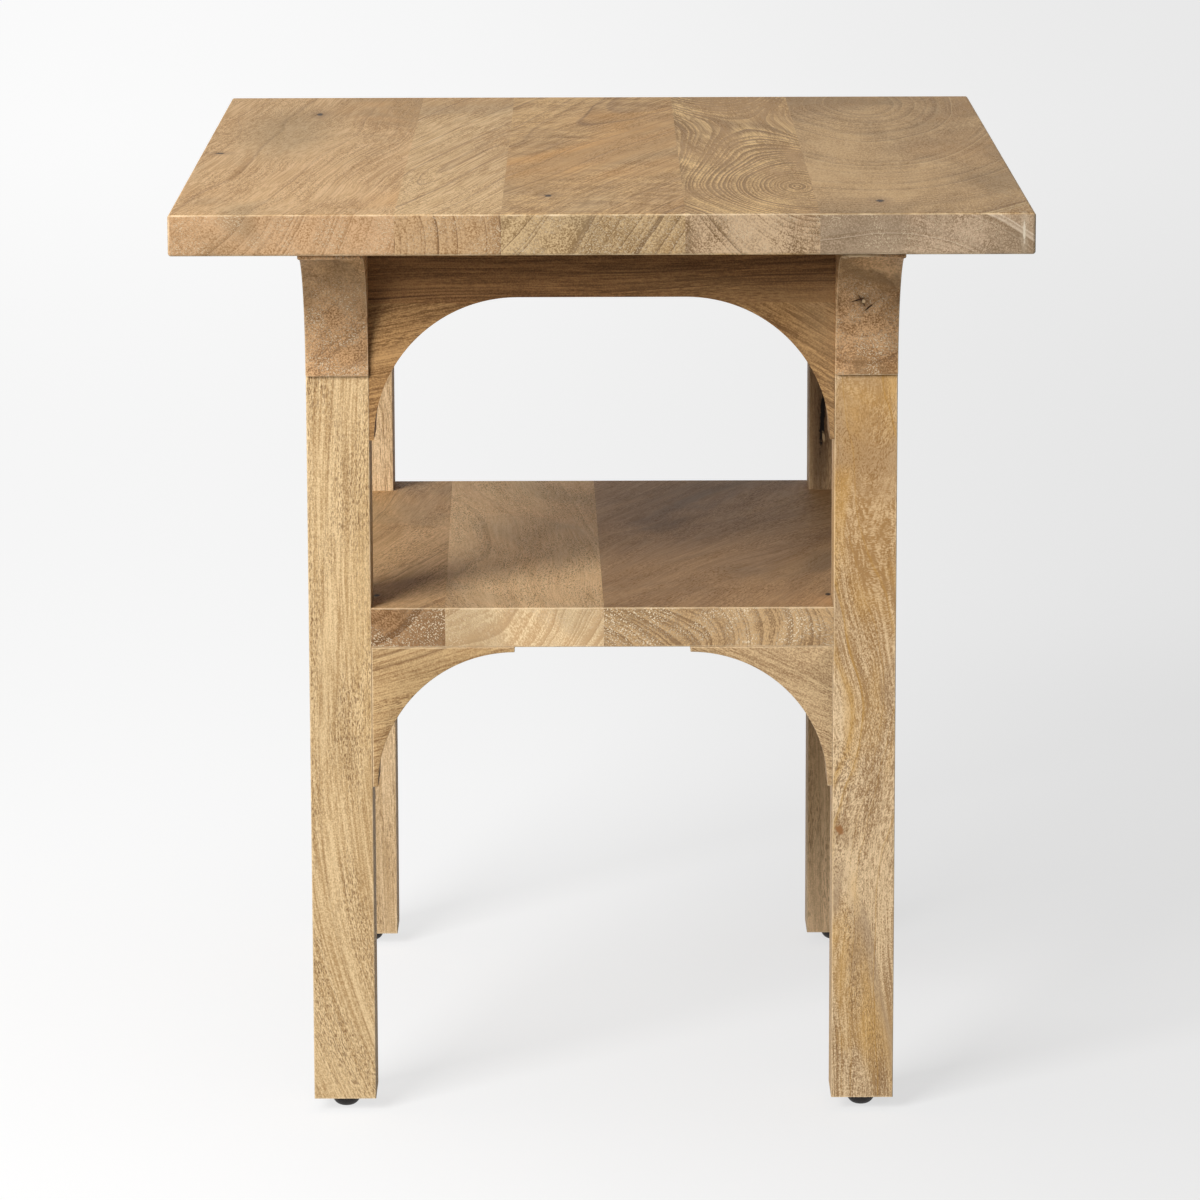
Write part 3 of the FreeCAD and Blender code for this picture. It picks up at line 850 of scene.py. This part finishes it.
for count, name in enumerate(sorted(nodes)):
    low, high = (Vector(corner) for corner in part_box(name))
    plain = {"seed": firstSeed + seedStep * count, "heart": tuple((low + high) / 2)}
    kind = next((kind for kind in woods if name.startswith(kind)), None)
    if name.endswith("dowels") or name.startswith("corner_block"):
        dress(name, woodMaterial(name, plain))
    elif kind == "apron_rail":
        dress(name, woodMaterial(name, pieceWood(name, kind, plain)))
    elif kind:
        placeQuarterRound(name, kind, woodMaterial(name, pieceWood(name, kind, plain)))
print("frame and quarter rounds made")


# Steel fasteners and plastic glides
smallLooks = {
    "glidePlastic": {"color": (30, 20, 16), "metallic": 0.0, "roughness": 0.55, "mottlePerMetre": 900.0},
    "fastenerSteel": {"color": (176, 176, 172), "metallic": 1.0, "roughness": 0.34, "mottlePerMetre": 700.0},
}
mottleLook = {
    "detail": 3.0,
    "dark": 0.55,
    "spots": (0.35, 0.7),
    "sheen": (0.2, 0.8),
    "smoother": 0.1,
    "rougher": 0.12,
    "bump": 0.2,
    "bumpDepth": 0.0003,
}


def smallMaterial(name):
    look = smallLooks[name]
    material, tree = newMaterial(name)
    place = addNode(tree, "ShaderNodeTexCoord").outputs["Object"]
    mottle = noise(tree, scaled(tree, place, look["mottlePerMetre"]), mottleLook["detail"])["Fac"]
    darker = [part * mottleLook["dark"] for part in look["color"]]
    smoothest = look["roughness"] - mottleLook["smoother"]
    roughest = look["roughness"] + mottleLook["rougher"]
    relief = {"Strength": mottleLook["bump"], "Distance": mottleLook["bumpDepth"], "Height": mottle}
    spots = smoothStep(tree, mottle, *mottleLook["spots"])
    shader = addNode(tree, "ShaderNodeBsdfPrincipled", {
        "Base Color": blendColor(tree, spots, tone(*look["color"]), tone(*darker)),
        "Roughness": smoothStep(tree, mottle, *mottleLook["sheen"], smoothest, roughest),
        "Normal": addNode(tree, "ShaderNodeBump", relief).outputs["Normal"],
        "Metallic": look["metallic"],
    })
    addNode(tree, "ShaderNodeOutputMaterial", {"Surface": shader.outputs[0]})
    return material


glidePlastic = smallMaterial("glidePlastic")
fastenerSteel = smallMaterial("fastenerSteel")
for name in nodes:
    if name.endswith("screws") or name == "glide_nails":
        dress(name, fastenerSteel)
    elif name.startswith("glide_"):
        dress(name, glidePlastic)
print("glides and fasteners dressed")


# Camera matched to the photograph, whose frame is 1200 pixels wide
photoCamera = {
    "place": (-0.0060, -4.1032, 1.1089),
    "pitchDown": 0.19307,
    "yawRight": 0.00114,
    "rollRight": 0.00265,
    "focalPixels": 5861.3,
    "framePixels": 1200.0,
    "sensorWidth": 36.0,
    "clipEnd": 100.0,
}


def makeCamera(spec):
    data = bpy.data.cameras.new("photoCamera")
    data.sensor_fit = "HORIZONTAL"
    data.sensor_width = spec["sensorWidth"]
    data.lens = spec["focalPixels"] / spec["framePixels"] * spec["sensorWidth"]
    data.clip_end = spec["clipEnd"]
    camera = bpy.data.objects.new("photoCamera", data)
    turn = Matrix.Rotation(-spec["yawRight"], 4, "Z")
    turn = turn @ Matrix.Rotation(math.pi / 2 - spec["pitchDown"], 4, "X")
    turn = turn @ Matrix.Rotation(-spec["rollRight"], 4, "Z")
    camera.matrix_world = Matrix.Translation(spec["place"]) @ turn
    bpy.context.scene.collection.objects.link(camera)
    bpy.context.scene.camera = camera


# Floor: pale to the eye, with a soft shadow, and a quieter grey for the light it throws back
floorLook = {
    "half": 20.0,
    "left": 1.02,  # painted light: a little brighter on the left, by the direction seen from this far in front, as the studio light falls off to the right
    "right": 0.85,
    "sideFrom": -0.10,
    "sideTo": 0.14,
    "seenFrom": 4.1,
    "nearest": 3.6,
    "farGain": 1.26,  # and brighter towards the back
    "gainFrom": -1.0,
    "gainTo": 6.0,
    "shadowShare": 0.28,
    "paper": 0.9,
    "bounce": 0.42,
    "fadeFrom": 9.0,
    "fadeTo": 18.0,
}
worldFill = {"seen": 0.88, "fill": 0.10}


def seenDirectly(tree):
    path = addNode(tree, "ShaderNodeLightPath").outputs
    seen = calc(tree, "MAXIMUM", path["Is Camera Ray"], path["Is Glossy Ray"])
    return calc(tree, "MAXIMUM", seen, path["Is Transmission Ray"])


def grey(level):
    return (level, level, level, 1)


def floorMaterial(look, horizon):
    material, tree = newMaterial("paleFloor")
    place = addNode(tree, "ShaderNodeTexCoord").outputs["Object"]
    spot = axes(tree, place)
    distance = calc(tree, "MAXIMUM", calc(tree, "ADD", spot["Y"], look["seenFrom"]), look["nearest"])
    aside = calc(tree, "DIVIDE", spot["X"], distance)
    # painted light: the glow falls from left to right like the studio light
    level = smoothStep(tree, aside, look["sideFrom"], look["sideTo"], look["left"], look["right"])
    gain = smoothStep(tree, spot["Y"], look["gainFrom"], look["gainTo"], 1.0, look["farGain"])
    level = times(tree, level, gain)
    # far off, the floor passes into the colour of the world, so that no horizon shows
    away = vectorCalc(tree, "LENGTH", place)
    far = smoothStep(tree, away, look["fadeFrom"], look["fadeTo"])
    level = plusTimes(tree, level, minus(tree, horizon, level), far)
    share = smoothStep(tree, away, look["fadeFrom"], look["fadeTo"], look["shadowShare"], 0.0)
    glow = addNode(tree, "ShaderNodeEmission", {"Color": grey(1.0), "Strength": level}).outputs[0]
    lit = addNode(tree, "ShaderNodeBsdfDiffuse", {"Color": grey(look["paper"])}).outputs[0]
    dull = addNode(tree, "ShaderNodeBsdfDiffuse", {"Color": grey(look["bounce"])}).outputs[0]
    pale = addNode(tree, "ShaderNodeMixShader", {0: share, 1: glow, 2: lit}).outputs[0]
    mixed = addNode(tree, "ShaderNodeMixShader", {0: seenDirectly(tree), 1: dull, 2: pale})
    addNode(tree, "ShaderNodeOutputMaterial", {"Surface": mixed.outputs[0]})
    return material


def makeFloor(look, horizon):
    half = look["half"]
    corners = [(-half, -half, 0), (half, -half, 0), (half, half, 0), (-half, half, 0)]
    mesh = bpy.data.meshes.new("studioFloor")
    mesh.from_pydata(corners, [], [(0, 1, 2, 3)])
    mesh.materials.append(floorMaterial(look, horizon))
    floor = bpy.data.objects.new("studioFloor", mesh)
    bpy.context.scene.collection.objects.link(floor)


studioLights = {
    "keyLeft": {"place": (-1.9, -2.9, 2.0), "aim": (0, -0.1, 0.4), "size": (1.8, 1.8), "watts": 172.0},
    "overhead": {"place": (-0.2, 0.1, 2.9), "aim": (0, 0, 0.6), "size": (2.4, 2.4), "watts": 27.0},
}


def makeLights(specs):
    for name, spec in specs.items():
        data = bpy.data.lights.new(name, "AREA")
        data.shape = "RECTANGLE"
        data.size, data.size_y = spec["size"]
        data.energy = spec["watts"]
        lamp = bpy.data.objects.new(name, data)
        lamp.location = spec["place"]
        beam = Vector(spec["aim"]) - Vector(spec["place"])
        lamp.rotation_euler = beam.to_track_quat("-Z", "Y").to_euler()
        bpy.context.scene.collection.objects.link(lamp)


def makeWorld(look):
    world = bpy.data.worlds.new("studioWorld")
    world.use_nodes = True
    tree = world.node_tree
    background = tree.nodes["Background"]
    background.inputs["Color"].default_value = grey(1.0)
    strength = smoothStep(tree, seenDirectly(tree), 0.0, 1.0, look["fill"], look["seen"])
    plug(tree, strength, background.inputs["Strength"])
    bpy.context.scene.world = world


makeFloor(floorLook, worldFill["seen"])
makeLights(studioLights)
makeWorld(worldFill)
makeCamera(photoCamera)
bpy.context.scene.view_settings.view_transform = "Standard"
print("studio ready")
